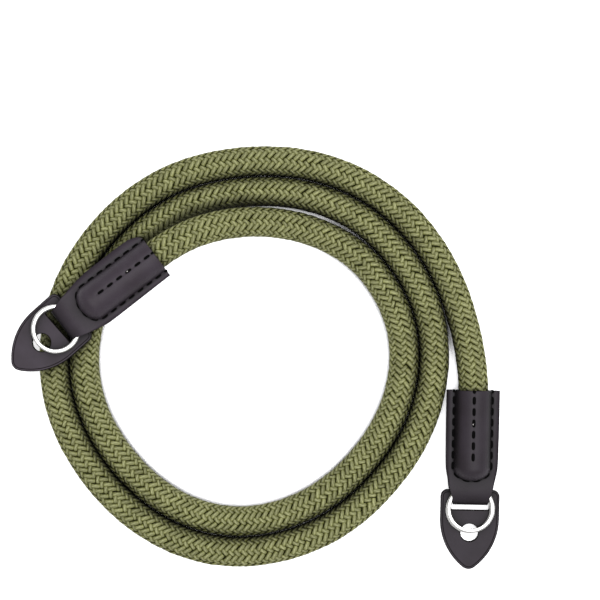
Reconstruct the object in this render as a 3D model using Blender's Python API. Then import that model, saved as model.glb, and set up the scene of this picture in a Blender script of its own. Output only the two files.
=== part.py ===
"""Rope neck strap for a camera, coiled flat on a table.

A braided rope makes two and three eighths turns. Each of its ends is sewn into a strip of
leather that is folded round it. The fold is narrowed to a loop, which goes through a round
split ring and through the slot of a pointed leather guard that lies under the ring.
One end lies on the table and the other on top of the coil.

Millimetres are used throughout and turned to metres where a shape is placed.
"""
import math

import bmesh
import bpy
import numpy
from mathutils import Matrix, Vector

MM = 0.001

# ---- driving dimensions, in millimetres --------------------------------------------------
ROPE_DIAMETER = 9.8
PIECE_GAP = 0.3                 # clearance between neighbouring pieces
LEATHER = 1.2                   # one layer of the folded strip

SLEEVE_WIDTH = 17.8             # the sewn strip, edge to edge
SLEEVE_LENGTH = 24.2            # mouth to where the space for the rope starts to close
DOME_START = 25.9               # mouth to where the bulge over the rope starts to close
DOME_SHORTER = 1.4              # how many times shorter than wide its closed end is
ROPE_IN_SLEEVE = 24.6           # mouth to the cut end of the rope
LOOP_WIDTH = 11.6               # the strip where it goes through the slot
LOOP_REACH = 38.9               # mouth to the outside of the loop
SEAM_HEIGHT = 6.0               # middle of the two sewn layers beside the rope
SEAM_TOP = SEAM_HEIGHT + LEATHER
SEAM_BOTTOM = SEAM_HEIGHT - LEATHER

GUARD_THICKNESS = 1.4
GUARD_WIDTH = 19.9
GUARD_STRAIGHT = 10.1           # length of its parallel sides
GUARD_FLANK_RADIUS = 20.7       # the two arcs that run to the point
GUARD_POINT_RADIUS = 3.2
GUARD_CORNER_RADIUS = 2.3
GUARD_TOP_HEIGHT = 1.885        # underside of the top edge, above what the end rests on
GUARD_TILT = 3.94               # degrees, so that the point comes down to rest
SLOT_NEAR = 3.8                 # top edge to the near side of the slot
SLOT_WIDTH = 3.05
SLOT_LENGTH = 12.8
SLOT_CORNER_RADIUS = 0.5
HOLE_FROM_TOP = 14.6
HOLE_DIAMETER = 6.0

RING_OUTER = 16.4
RING_BAND = 1.4                 # width of the flat wound wire, seen from above
RING_HEIGHT = 1.4               # its two turns together
RING_CHAMFER = 0.35
RING_STEPS = 40

# The coil's centre, measured from the middle of the whole strap's outline.
COIL_CENTRE = Vector((-4.0, -4.54, 0.0))

# Where each end lies: the rope's centre at the mouth, from the coil's centre, the height of
# the plane that the end rests on below that mouth, its heading and how much it climbs.
END_COLUMNS = ("mouth_x", "mouth_y", "rest_height", "heading", "climb")
ENDS = {
    "right": (76.735, -6.06, 0.0, -91.15, 0.0),
    "left": (-29.8, 38.9, 8.8, -142.9, 3.0),
}
# How the guard and ring hang in each end's loop: the guard's top edge from the mouth, how far
# it has slid across and turned, and the ring's centre from the mouth and from the guard's
# middle line.
HANG_COLUMNS = ("guard_top", "guard_across", "guard_turn", "ring_centre", "ring_across")
HANGS = {
    "right": (33.7, 0.0, 0.0, 39.8, 0.0),
    "left": (33.15, -0.35, 2.5, 40.25, -0.05),
}

# The rope's way round the coil, one row a point: degrees wound since the right-hand side,
# distance of the rope's centre from the coil's centre, and its height above the table.
FLOOR = ROPE_DIAMETER / 2
ROUTE = (
    (12, 75.4, 5.0), (24, 75.2, FLOOR), (40, 75.2, FLOOR), (66, 73.7, FLOOR),
    (94, 70.4, FLOOR), (108, 69.5, FLOOR), (136, 67.1, FLOOR), (150, 66.2, FLOOR),
    (178, 64.2, FLOOR), (192, 63.0, FLOOR), (206, 61.6, FLOOR), (220, 60.8, FLOOR),
    (262, 60.7, FLOOR), (284, 59.9, FLOOR), (306, 59.5, FLOOR), (322, 59.6, FLOOR),
    (336, 60.8, FLOOR), (350, 62.3, FLOOR), (378, 64.9, FLOOR), (392, 65.0, FLOOR),
    (410, 64.7, FLOOR), (454, 60.1, FLOOR), (468, 59.2, FLOOR), (496, 56.8, FLOOR),
    (510, 55.9, FLOOR), (552, 52.6, FLOOR), (566, 51.2, FLOOR), (580, 50.4, FLOOR),
    (600, 50.4, FLOOR), (622, 50.4, FLOOR), (644, 49.6, FLOOR), (666, 49.1, FLOOR),
    (682, 49.3, FLOOR), (710, 51.9, FLOOR), (738, 54.6, FLOOR), (752, 54.8, FLOOR),
    (766, 54.4, 5.1), (778, 53.2, 5.8), (802, 50.8, 9.0), (814, 50.0, 11.2),
    (838, 49.1, 14.5),
)
ROUTE_STEP = 12                 # degrees between the points of the rope's curve
ROPE_BEVEL_RESOLUTION = 4       # twelve sides

# The leather end from its mouth to the outside of the loop, one row a station: reach, half
# width, and top and bottom of the two layers, away from the bulge over the rope.
STRIP = (
    (0.0, 8.9, SEAM_TOP, SEAM_BOTTOM),
    (1.5, 8.9, SEAM_TOP, SEAM_BOTTOM),
    (4.3, 8.9, SEAM_TOP, SEAM_BOTTOM),
    (8.0, 8.9, SEAM_TOP, SEAM_BOTTOM),
    (16.0, 8.85, SEAM_TOP, SEAM_BOTTOM),
    (21.0, 8.8, 7.1, 4.7),
    (23.5, 8.75, 7.0, 4.6),
    (25.2, 8.7, 6.9, 4.5),
    (26.6, 8.6, 6.7, 4.3),
    (27.8, 8.4, 6.4, 4.0),
    (28.8, 8.2, 6.1, 3.7),
    (29.7, 8.0, 5.9, 3.5),
    (30.4, 7.85, 5.85, 3.2),
    (31.1, 7.7, 6.25, 2.6),
    (31.9, 7.55, 6.8, 1.7),
    (33.0, 7.3, 6.9, 0.4),
    (34.2, 6.95, 6.85, 0.0),
    (35.6, 6.5, 6.65, 0.0),
    (36.7, 6.15, 6.35, 0.0),
    (37.5, 5.95, 5.85, 0.0),
    (38.2, 5.85, 5.0, 0.05),
    (38.7, LOOP_WIDTH / 2, 4.0, 0.35),
    (LOOP_REACH, LOOP_WIDTH / 2, 3.0, 1.0),
)
# One corner of the left end's mouth is rounded off: reach, and half width left on that side.
CORNER = ((0.0, 6.4), (1.5, 7.8), (4.3, 8.6), (8.0, 8.9))
# Places across the strip, out to its edge, close together at the foot of the bulge. They
# draw in where the strip is narrower than the last of them needs.
ACROSS = (0.0, 1.4, 2.8, 4.2, 5.2, 5.8, 6.15, 6.45, 6.8)
ACROSS_NEEDS = 7.3
FOOT_SLOPE = 4                  # how steeply the bulge goes on down past its foot
VALLEY_WIDTH = 0.6              # rounding between the bulge and the flat seam

# The space inside the loop, seen from the side, round the ring's wire and the guard's bar:
# a row for each corner, reach and height.
LOOP_SPACE = (
    (30.9, 4.5), (31.3, 5.2), (31.75, 5.6), (33.0, 5.7), (35.0, 5.5), (36.5, 5.2),
    (37.2, 4.95), (37.65, 4.3), (37.7, 3.4), (37.7, 1.6), (37.4, 1.2), (34.0, 1.2),
    (32.75, 1.6), (31.75, 3.0),
)

BORE_RADIUS = ROPE_DIAMETER / 2 + PIECE_GAP
BORE_STEPS = 24
BULGE_RADIUS = BORE_RADIUS + LEATHER
ROPE_HEIGHT = BULGE_RADIUS      # rope's centre above the plane that a leather end rests on
SHARP_ABOVE = 40                # degrees between faces that still look smooth


# ---- materials ---------------------------------------------------------------------------
def material(name, colour, roughness, metallic=0.0):
    made = bpy.data.materials.new(name)
    made.use_nodes = True
    shader = made.node_tree.nodes["Principled BSDF"]
    shader.inputs["Base Color"].default_value = (*colour, 1.0)
    shader.inputs["Roughness"].default_value = roughness
    shader.inputs["Metallic"].default_value = metallic
    return made


# ---- shapes ------------------------------------------------------------------------------
def natural_spline(knots, values):
    """The natural cubic spline through the values, as a function of the knot's measure."""
    knots, values = numpy.array(knots, float), numpy.array(values, float)
    gaps = numpy.diff(knots)
    slopes = numpy.diff(values) / gaps
    system = numpy.eye(len(knots))
    right = numpy.zeros(len(knots))
    for i in range(1, len(knots) - 1):
        system[i, i - 1:i + 2] = gaps[i - 1], 2 * (gaps[i - 1] + gaps[i]), gaps[i]
        right[i] = 6 * (slopes[i] - slopes[i - 1])
    bends = numpy.linalg.solve(system, right)

    def value(at):
        i = min(max(numpy.searchsorted(knots, at) - 1, 0), len(gaps) - 1)
        before, after = at - knots[i], knots[i + 1] - at
        curve = bends[i] * after ** 3 + bends[i + 1] * before ** 3
        start = (values[i] - bends[i] * gaps[i] ** 2 / 6) * after
        end = (values[i + 1] - bends[i + 1] * gaps[i] ** 2 / 6) * before
        return float((curve / 6 + start + end) / gaps[i])

    return value


def mesh_object(name, bm, look, parent=None):
    bmesh.ops.recalc_face_normals(bm, faces=bm.faces)
    mesh = bpy.data.meshes.new(name)
    bm.to_mesh(mesh)
    bm.free()
    mesh.shade_smooth()
    mesh.set_sharp_from_angle(angle=math.radians(SHARP_ABOVE))
    made = bpy.data.objects.new(name, mesh)
    bpy.context.scene.collection.objects.link(made)
    if look:
        mesh.materials.append(look)
    if parent:
        made.parent = parent
    return made


def loft(sections):
    """A closed skin over sections that have the same number of points, in millimetres."""
    bm = bmesh.new()
    rings = [[bm.verts.new(Vector(point) * MM) for point in section] for section in sections]
    for near, far in zip(rings, rings[1:]):
        for i in range(len(near)):
            following = (i + 1) % len(near)
            bm.faces.new((near[i], near[following], far[following], far[i]))
    bm.faces.new(rings[0])
    bm.faces.new(rings[-1])
    return bm


def turned(profile, axis_point, axis, steps):
    """A closed profile, in millimetres, spun a whole turn about an axis."""
    bm = bmesh.new()
    corners = [bm.verts.new(Vector(point) * MM) for point in profile]
    edges = [bm.edges.new(pair) for pair in zip(corners, corners[1:] + corners[:1])]
    bmesh.ops.spin(bm, geom=corners + edges, cent=Vector(axis_point) * MM, axis=axis,
                   angle=math.tau, steps=steps, use_merge=True)
    bmesh.ops.remove_doubles(bm, verts=bm.verts, dist=0.01 * MM)
    return bm


def arc(centre, radius, start, end, steps):
    """Points on an arc in the plane, from one angle to the other, in degrees."""
    angles = numpy.radians(numpy.linspace(start, end, steps + 1))
    return [(centre[0] + radius * math.cos(a), centre[1] + radius * math.sin(a))
            for a in angles]


def plate(outline, low, high):
    """A flat outline given a thickness."""
    return loft([[(x, y, low) for x, y in outline], [(x, y, high) for x, y in outline]])


def cut(target, cutter):
    cutter.hide_render = True
    cutter.display_type = 'WIRE'
    boolean = target.modifiers.new("Cut " + cutter.name, 'BOOLEAN')
    boolean.operation = 'DIFFERENCE'
    boolean.solver = 'EXACT'
    boolean.object = cutter


# ---- the frame that each leather end lies in ---------------------------------------------
def end_row(side):
    return dict(zip(END_COLUMNS + HANG_COLUMNS, ENDS[side] + HANGS[side]))


def end_frame(side):
    """Local X runs from the mouth to the guard's point, and local Z up from what it rests on."""
    row = end_row(side)
    mouth = Vector((row["mouth_x"], row["mouth_y"], row["rest_height"]))
    place = Matrix.Translation((COIL_CENTRE + mouth) * MM)
    turn = Matrix.Rotation(math.radians(row["heading"]), 4, 'Z')
    return place @ turn @ Matrix.Rotation(math.radians(-row["climb"]), 4, 'Y')


# ---- rope --------------------------------------------------------------------------------
def polar(point, turns):
    """Degrees wound, radius and height of a point, from the coil's centre."""
    wound = math.degrees(math.atan2(point.y, point.x)) + 360 * turns
    return wound, point.xy.length, point.z


def sleeve_points(side, turns):
    """Points on the rope's straight stretch inside a leather end, cut end first."""
    frame = end_frame(side)
    reaches = (ROPE_IN_SLEEVE, ROPE_IN_SLEEVE * 2 / 3, ROPE_IN_SLEEVE / 3, 0.0)
    places = [frame @ (Vector((reach, 0, ROPE_HEIGHT)) * MM) for reach in reaches]
    return [polar(place / MM - COIL_CENTRE, turns) for place in places]


def rope(look):
    knots = sleeve_points("right", 0) + list(ROUTE) + sleeve_points("left", 2)[::-1]
    wound = [knot[0] for knot in knots]
    radius = natural_spline(wound, [knot[1] for knot in knots])
    height = natural_spline(wound, [knot[2] for knot in knots])
    steps = range(math.ceil(wound[0] / ROUTE_STEP), math.ceil(wound[-1] / ROUTE_STEP))
    stops = [wound[0]] + [step * ROUTE_STEP for step in steps] + [wound[-1]]

    curve = bpy.data.curves.new("rope", 'CURVE')
    curve.dimensions = '3D'
    curve.bevel_depth = ROPE_DIAMETER / 2 * MM
    curve.bevel_resolution = ROPE_BEVEL_RESOLUTION
    curve.use_fill_caps = True
    line = curve.splines.new('POLY')
    line.points.add(len(stops) - 1)
    for point, stop in zip(line.points, stops):
        around = math.radians(stop)
        flat = Vector((math.cos(around), math.sin(around), 0.0)) * radius(stop)
        place = COIL_CENTRE + flat + Vector((0, 0, max(height(stop), FLOOR)))
        point.co = (*(place * MM), 1.0)
    curve.materials.append(look)
    made = bpy.data.objects.new("rope", curve)
    bpy.context.scene.collection.objects.link(made)
    return made


# ---- leather end -------------------------------------------------------------------------
def bulge(from_axis):
    """Half height of the leather over the rope, at a distance from the rope's axis."""
    inside = math.sqrt(max(BULGE_RADIUS ** 2 - from_axis ** 2, 0.0))
    return inside - FOOT_SLOPE * max(from_axis - BULGE_RADIUS, 0.0)


def blended(higher, lower):
    """The higher of two heights, with a rounded valley where they are about equal."""
    overlap = max(VALLEY_WIDTH - abs(higher - lower), 0.0)
    return max(higher, lower) + overlap ** 2 / (4 * VALLEY_WIDTH)


def outward(half_width):
    """Places from the middle of the strip to one of its edges."""
    draw_in = min(half_width / ACROSS_NEEDS, 1.0)
    return [place * draw_in for place in ACROSS] + [half_width]


def strip_section(reach, near_half, far_half, top, bottom):
    """Outline of the leather end across its length: over the top, then back underneath."""
    past_end = max(reach - DOME_START, 0.0) * DOME_SHORTER
    over, under = [], []
    for across in [-place for place in outward(near_half)[:0:-1]] + outward(far_half):
        round_rope = bulge(math.hypot(across, past_end))
        over.append((reach, across, blended(ROPE_HEIGHT + round_rope, top)))
        under.append((reach, across, -blended(round_rope - ROPE_HEIGHT, -bottom)))
    return over + under[::-1]


def leather_end(side, parent, look):
    name = "leather_end_" + side
    sections = []
    for reach, half, top, bottom in STRIP:
        kept = numpy.interp(reach, *zip(*CORNER)) if side == "left" else half
        sections.append(strip_section(reach, min(half, kept), half, top, bottom))
    made = mesh_object(name, loft(sections), look, parent)

    flare = BORE_RADIUS + PIECE_GAP
    bore = [(-flare, 0), (-flare, flare), (0, flare), (flare, BORE_RADIUS)]
    bore += arc((SLEEVE_LENGTH, 0), BORE_RADIUS, 90, 0, BORE_STEPS // 4)
    profile = [(x, 0, ROPE_HEIGHT + out) for x, out in bore]
    cutter = turned(profile, (0, 0, ROPE_HEIGHT), (1, 0, 0), BORE_STEPS)
    cut(made, mesh_object(name + "_bore", cutter, None, parent))

    beyond = SLEEVE_WIDTH
    walls = [[(reach, side_y, height) for reach, height in LOOP_SPACE]
             for side_y in (-beyond, beyond)]
    cut(made, mesh_object(name + "_loop_space", loft(walls), None, parent))
    return made


# ---- split ring --------------------------------------------------------------------------
def split_ring(side, parent, look):
    """Two flat turns of wire as one ring, lying on the guard and leaning with it."""
    outer, inner = RING_OUTER / 2, RING_OUTER / 2 - RING_BAND
    profile = [(inner, RING_CHAMFER), (inner + RING_CHAMFER, 0), (outer - RING_CHAMFER, 0),
               (outer, RING_CHAMFER), (outer, RING_HEIGHT - RING_CHAMFER),
               (outer - RING_CHAMFER, RING_HEIGHT), (inner + RING_CHAMFER, RING_HEIGHT),
               (inner, RING_HEIGHT - RING_CHAMFER)]
    section = [(out, 0, up) for out, up in profile]
    ring = turned(section, (0, 0, 0), (0, 0, 1), RING_STEPS)
    made = mesh_object("split_ring_" + side, ring, look, parent)
    row = end_row(side)
    reach, on_guard = row["ring_centre"] - row["guard_top"], GUARD_THICKNESS + PIECE_GAP
    made.location = Vector((reach, row["ring_across"], on_guard)) * MM
    return made


# ---- leather guard -----------------------------------------------------------------------
def guard_outline():
    """Half of the outline is rounded corner, straight side, long arc and half the point."""
    half, corner = GUARD_WIDTH / 2, GUARD_CORNER_RADIUS
    flank_y = half - GUARD_FLANK_RADIUS
    lean = math.degrees(math.asin(-flank_y / (GUARD_FLANK_RADIUS - GUARD_POINT_RADIUS)))
    reach = (GUARD_FLANK_RADIUS - GUARD_POINT_RADIUS) * math.cos(math.radians(lean))
    point_x = GUARD_STRAIGHT + reach
    side = arc((corner, half - corner), corner, 180, 90, 4)
    side += arc((GUARD_STRAIGHT, flank_y), GUARD_FLANK_RADIUS, 90, lean, 8)
    side += arc((point_x, 0), GUARD_POINT_RADIUS, lean, 0, 3)[1:]
    return side + [(x, -y) for x, y in side[-2::-1]]


def slot_outline():
    """The slot that the loop goes through, a rectangle with small round corners."""
    near, far = SLOT_NEAR + SLOT_CORNER_RADIUS, SLOT_NEAR + SLOT_WIDTH - SLOT_CORNER_RADIUS
    out = SLOT_LENGTH / 2 - SLOT_CORNER_RADIUS
    outline = []
    for turn, corner in enumerate(((far, out), (near, out), (near, -out), (far, -out))):
        outline += arc(corner, SLOT_CORNER_RADIUS, 90 * turn, 90 * turn + 90, 3)
    return outline


def leather_guard(side, parent, look):
    name = "leather_guard_" + side
    made = mesh_object(name, plate(guard_outline(), 0, GUARD_THICKNESS), look, parent)
    low, high = -GUARD_THICKNESS, 2 * GUARD_THICKNESS
    cut(made, mesh_object(name + "_slot", plate(slot_outline(), low, high), None, parent))
    hole = arc((HOLE_FROM_TOP, 0), HOLE_DIAMETER / 2, 0, 360, 24)[:-1]
    cut(made, mesh_object(name + "_hole", plate(hole, low, high), None, parent))
    return made


# ---- assembly ----------------------------------------------------------------------------
def empty(name, matrix, parent=None):
    made = bpy.data.objects.new(name, None)
    bpy.context.scene.collection.objects.link(made)
    made.parent = parent
    made.matrix_local = matrix
    return made


def build():
    for old in list(bpy.data.objects):
        bpy.data.objects.remove(old)

    cord = material("Braided olive rope", (0.19, 0.22, 0.075), 0.85)
    leather = material("Dark brown leather", (0.058, 0.046, 0.055), 0.55)
    steel = material("Polished steel wire", (0.75, 0.75, 0.76), 0.2, 1.0)

    rope(cord)
    for side in ENDS:
        end = empty(side + "_end", end_frame(side))
        leather_end(side, end, leather)
        row = end_row(side)
        bar = Vector((row["guard_top"], row["guard_across"], GUARD_TOP_HEIGHT)) * MM
        turn = Matrix.Rotation(math.radians(row["guard_turn"]), 4, 'Z')
        lean = Matrix.Rotation(math.radians(GUARD_TILT), 4, 'Y')
        seat = empty(side + "_guard_seat", Matrix.Translation(bar) @ turn @ lean, end)
        leather_guard(side, seat, leather)
        split_ring(side, seat, steel)


build()
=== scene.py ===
"""A rope neck strap for a camera, lying coiled on a table: braided olive rope whose two ends
are sewn into dark leather, each with a split ring and a pointed leather guard.

The sections follow the strap as it is put together. Sizes are in millimetres and are turned
to metres where a mesh gets its place.
"""
import math

import bmesh
import bpy
import numpy as np
from mathutils import Matrix, Vector


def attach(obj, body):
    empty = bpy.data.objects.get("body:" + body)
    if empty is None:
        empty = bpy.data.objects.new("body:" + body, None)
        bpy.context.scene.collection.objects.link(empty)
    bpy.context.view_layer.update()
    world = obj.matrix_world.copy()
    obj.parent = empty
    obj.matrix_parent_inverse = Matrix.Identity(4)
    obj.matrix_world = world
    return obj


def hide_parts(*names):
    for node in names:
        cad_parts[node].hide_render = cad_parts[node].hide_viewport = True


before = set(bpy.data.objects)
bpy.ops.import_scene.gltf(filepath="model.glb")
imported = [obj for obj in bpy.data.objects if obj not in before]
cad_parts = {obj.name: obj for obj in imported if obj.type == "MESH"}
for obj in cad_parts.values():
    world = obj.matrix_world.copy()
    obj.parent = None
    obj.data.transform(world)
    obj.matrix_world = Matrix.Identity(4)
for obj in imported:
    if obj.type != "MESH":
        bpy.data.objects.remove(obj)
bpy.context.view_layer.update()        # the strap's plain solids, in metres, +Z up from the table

# ==== camera ==============================================================================
# The strap is looked at from straight above. The middle of its coil lies left of and below
# the middle of the picture. The rope, 10 mm thick over its braid, is 29.7 pixels wide there.
MM = 0.001
COIL_CENTRE = Vector((-4.0, -4.54, 0.0))
COIL_PIXEL = (245, 372)
PICTURE_PIXELS = 600
PIXELS_PER_MM = 2.97
ROPE_DIAMETER = 9.8             # of the solid, which the braid stands 0.1 mm proud of
CAMERA_HEIGHT = 650.0
SENSOR = 36.0

half_picture = PICTURE_PIXELS / 2
aim_x = COIL_CENTRE.x + (half_picture - COIL_PIXEL[0]) / PIXELS_PER_MM
aim_y = COIL_CENTRE.y + (COIL_PIXEL[1] - half_picture) / PIXELS_PER_MM
camera_data = bpy.data.cameras.new("camera")
camera_data.sensor_width = SENSOR
camera_data.lens = (SENSOR * (CAMERA_HEIGHT - ROPE_DIAMETER / 2)
                    / (PICTURE_PIXELS / PIXELS_PER_MM))
camera = bpy.data.objects.new("camera", camera_data)
camera.location = Vector((aim_x, aim_y, CAMERA_HEIGHT)) * MM
bpy.context.scene.collection.objects.link(camera)
bpy.context.scene.camera = camera

# ==== where the two ends lie ==============================================================
# Each leather end has its own directions: from its mouth to the guard's point, across, and
# up from what it rests on, which is the table on the right and the coil on the left.
# Its mouth is measured from the coil's centre, and its heading and climb are in degrees.
END_COLUMNS = ("mouth_x", "mouth_y", "rest_height", "heading", "climb")
ENDS = {
    "right": (76.735, -6.06, 0.0, -91.15, 0.0),
    "left": (-29.8, 38.9, 8.8, -142.9, 3.0),
}


def end_row(side):
    return dict(zip(END_COLUMNS, ENDS[side]))


def end_frame(side):
    """Millimetres along, across and above a leather end, to metres in the row's frame."""
    row = end_row(side)
    mouth = Vector((row["mouth_x"], row["mouth_y"], row["rest_height"]))
    turn = Matrix.Rotation(math.radians(row["heading"]), 4, 'Z')
    climb = Matrix.Rotation(math.radians(-row["climb"]), 4, 'Y')
    return Matrix.Scale(MM, 4) @ Matrix.Translation(COIL_CENTRE + mouth) @ turn @ climb


# ==== rope core ===========================================================================
# The rope is a soft core of parallel yarns inside a braided sheath, 10 mm thick over all.
# Only a tube of it shows, painted nearly black as shade, at the bottom of the gaps in the
# braid. It makes two and three eighths turns on the table and climbs over itself to the left end.
LEATHER = 1.2
ROPE_PLAY = 0.3                 # between the solids of the rope and of the leather round it
ROPE_HEIGHT = ROPE_DIAMETER / 2 + ROPE_PLAY + LEATHER     # over what a leather end rests on
ROPE_IN_SLEEVE = 24.6
LINE_POINTS = 2400
CORD_POINTS = 300
CORE_RADIUS = 4.35
CORE_SIDES = 24
CORE_STEP = 2.5
WELD = 0.001                    # two points of a mesh nearer than this are one
FLOOR = ROPE_DIAMETER / 2       # height of the rope's middle where it lies on the table
# Degrees wound, distance from the coil's centre and height above the table, all of the
# rope's middle, one row a point.
ROUTE = (
    (12, 75.4, 5.0), (24, 75.2, FLOOR), (40, 75.2, FLOOR), (66, 73.7, FLOOR),
    (94, 70.4, FLOOR), (108, 69.5, FLOOR), (136, 67.1, FLOOR), (150, 66.2, FLOOR),
    (178, 64.2, FLOOR), (192, 63.0, FLOOR), (206, 61.6, FLOOR), (220, 60.8, FLOOR),
    (262, 60.7, FLOOR), (284, 59.9, FLOOR), (306, 59.5, FLOOR), (322, 59.6, FLOOR),
    (336, 60.8, FLOOR), (350, 62.3, FLOOR), (378, 64.9, FLOOR), (392, 65.0, FLOOR),
    (410, 64.7, FLOOR), (454, 60.1, FLOOR), (468, 59.2, FLOOR), (496, 56.8, FLOOR),
    (510, 55.9, FLOOR), (552, 52.85, FLOOR), (566, 51.45, FLOOR), (580, 50.6, FLOOR),
    (600, 50.4, FLOOR), (622, 50.4, FLOOR), (644, 49.6, FLOOR), (666, 49.1, FLOOR),
    (682, 49.4, FLOOR), (710, 52.1, FLOOR), (738, 54.7, FLOOR), (752, 54.8, FLOOR),
    (766, 54.4, 5.1), (778, 53.2, 5.8), (802, 50.8, 9.0), (814, 50.0, 11.2),
    (838, 49.1, 14.5),
)


def natural_spline(knots, values, at):
    """The natural cubic spline through the values, read at many places."""
    knots, values, at = np.array(knots, float), np.array(values, float), np.array(at, float)
    gaps = np.diff(knots)
    slopes = np.diff(values) / gaps
    system = np.eye(len(knots))
    right = np.zeros(len(knots))
    for i in range(1, len(knots) - 1):
        system[i, i - 1:i + 2] = gaps[i - 1], 2 * (gaps[i - 1] + gaps[i]), gaps[i]
        right[i] = 6 * (slopes[i] - slopes[i - 1])
    bends = np.linalg.solve(system, right)
    i = np.clip(np.searchsorted(knots, at) - 1, 0, len(gaps) - 1)
    before, after, gap = at - knots[i], knots[i + 1] - at, gaps[i]
    curve = bends[i] * after ** 3 + bends[i + 1] * before ** 3
    start = (values[i] - bends[i] * gap ** 2 / 6) * after
    end = (values[i + 1] - bends[i + 1] * gap ** 2 / 6) * before
    return (curve / 6 + start + end) / gap


def sleeve_points(side, turns):
    """Wound angle, radius and height of the straight stretch in a leather end."""
    found = []
    for share in (1, 2 / 3, 1 / 3, 0):
        place = end_frame(side) @ Vector((ROPE_IN_SLEEVE * share, 0, ROPE_HEIGHT))
        place = place / MM - COIL_CENTRE
        wound = math.degrees(math.atan2(place.y, place.x)) + 360 * turns
        found.append((wound, place.xy.length, place.z))
    return found


knots = sleeve_points("right", 0) + list(ROUTE) + sleeve_points("left", 2)[::-1]
wound_at, radius_at, height_at = zip(*knots)
wound = np.linspace(wound_at[0], wound_at[-1], LINE_POINTS)
reach = natural_spline(wound_at, radius_at, wound)
line = np.stack([COIL_CENTRE.x + reach * np.cos(np.radians(wound)),
                 COIL_CENTRE.y + reach * np.sin(np.radians(wound)),
                 np.maximum(natural_spline(wound_at, height_at, wound), FLOOR)], axis=1)
line_run = np.concatenate([[0], np.cumsum(np.linalg.norm(np.diff(line, axis=0), axis=1))])
rope_length = line_run[-1]
line_ahead = np.gradient(line, line_run, axis=0)


def on_rope(run, round_rope, out):
    """Points in metres from the run along the rope, the angle round it and the radius."""
    middle = np.stack([np.interp(run, line_run, line[:, i]) for i in range(3)], axis=1)
    ahead = np.stack([np.interp(run, line_run, line_ahead[:, i]) for i in range(3)], axis=1)
    ahead /= np.linalg.norm(ahead, axis=1, keepdims=True)
    aside = np.cross(ahead, (0, 0, 1))
    aside /= np.linalg.norm(aside, axis=1, keepdims=True)
    above = np.cross(aside, ahead)
    around = aside * np.cos(round_rope)[:, None] + above * np.sin(round_rope)[:, None]
    return (middle + around * out[:, None]) * MM


def read_points(mesh):
    flat = np.empty(len(mesh.vertices) * 3)
    mesh.vertices.foreach_get("co", flat)
    return flat.reshape(-1, 3)


def write_points(mesh, points):
    mesh.vertices.foreach_set("co", np.asarray(points, float).ravel())
    mesh.update()


def new_piece(name, bm, *looks):
    """An object at the origin from a bmesh whose places are already in metres."""
    mesh = bpy.data.meshes.new(name)
    bm.to_mesh(mesh)
    bm.free()
    made = bpy.data.objects.new(name, mesh)
    bpy.context.scene.collection.objects.link(made)
    for look in looks:
        mesh.materials.append(look)
    mesh.shade_smooth()
    return made


def linear(colour):
    """An sRGB hex colour as the linear values that a shader takes."""
    parts = [int(colour[i:i + 2], 16) / 255 for i in (1, 3, 5)]
    return [p / 12.92 if p <= 0.04045 else ((p + 0.055) / 1.055) ** 2.4 for p in parts] + [1]


def add(tree, kind, settings=None, **links):
    """Adds a node with its properties and unlinked values, and links its named inputs."""
    made = tree.nodes.new("ShaderNode" + kind)
    for name, value in (settings or {}).items():
        if name in made.inputs:
            made.inputs[name].default_value = value
        else:
            setattr(made, name, value)
    for name, source in links.items():
        tree.links.new(source, made.inputs[name.replace("_", " ")])
    return made


def new_look(name):
    """A material with its Principled shader, whose other nodes the sections add."""
    look = bpy.data.materials.new(name)
    look.use_nodes = True
    return look, look.node_tree, look.node_tree.nodes["Principled BSDF"]


# Polyester filling yarn in the shade of the sheath, matt. Its nearly black olive is painted
# shade, so that the gaps between the floats read as dark dots and lines.
core_shade_look, tree, shader = new_look("shaded polyester core")
shader.inputs["Base Color"].default_value = linear("#0F1003")
shader.inputs["Roughness"].default_value = 0.95
shader.inputs["Specular IOR Level"].default_value = 0.1


def tube(steps, sides, place):
    """A grid rolled into a closed tube. Shares along and round it give its points."""
    bm = bmesh.new()
    verts = bmesh.ops.create_grid(bm, x_segments=steps, y_segments=sides, size=0.5)["verts"]
    shares = np.array([vert.co.xy for vert in verts]) + 0.5
    for vert, point in zip(verts, place(shares[:, 0], shares[:, 1])):
        vert.co = point
    bmesh.ops.remove_doubles(bm, verts=bm.verts, dist=WELD * MM)
    bmesh.ops.holes_fill(bm, edges=bm.edges)
    bmesh.ops.recalc_face_normals(bm, faces=bm.faces)
    return bm


def core_surface(along, around):
    return on_rope(along * rope_length, around * math.tau, np.full(len(along), CORE_RADIUS))


core = new_piece("rope_core", tube(round(rope_length / CORE_STEP), CORE_SIDES, core_surface),
                 core_shade_look)
path_run = np.linspace(0, rope_length, CORD_POINTS)
core_path = [tuple(point) for point in on_rope(path_run, 0 * path_run, 0 * path_run)]

# ==== braided sheath ======================================================================
# Thirty-two flat yarns of olive polyester, sixteen each way, each over two and under two.
# Every stretch that shows is one float, twice as long as it is wide, and the floats lie as
# in a herringbone floor: sixteen columns round the rope, leaning by turns.
COLUMNS = 16
REPEAT = 2.19                   # along the rope, from one float of a column to the next
SHEATH_RADIUS = 4.55            # where the floats meet
FLOAT_RISE = 0.45
# Where a float's mesh has its corners, from its middle out, along it and across it.
FLOAT_ALONG = (0.0, 0.4, 0.72, 0.88, 1.0)
FLOAT_ACROSS = (0.0, 0.87, 1.0)
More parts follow.
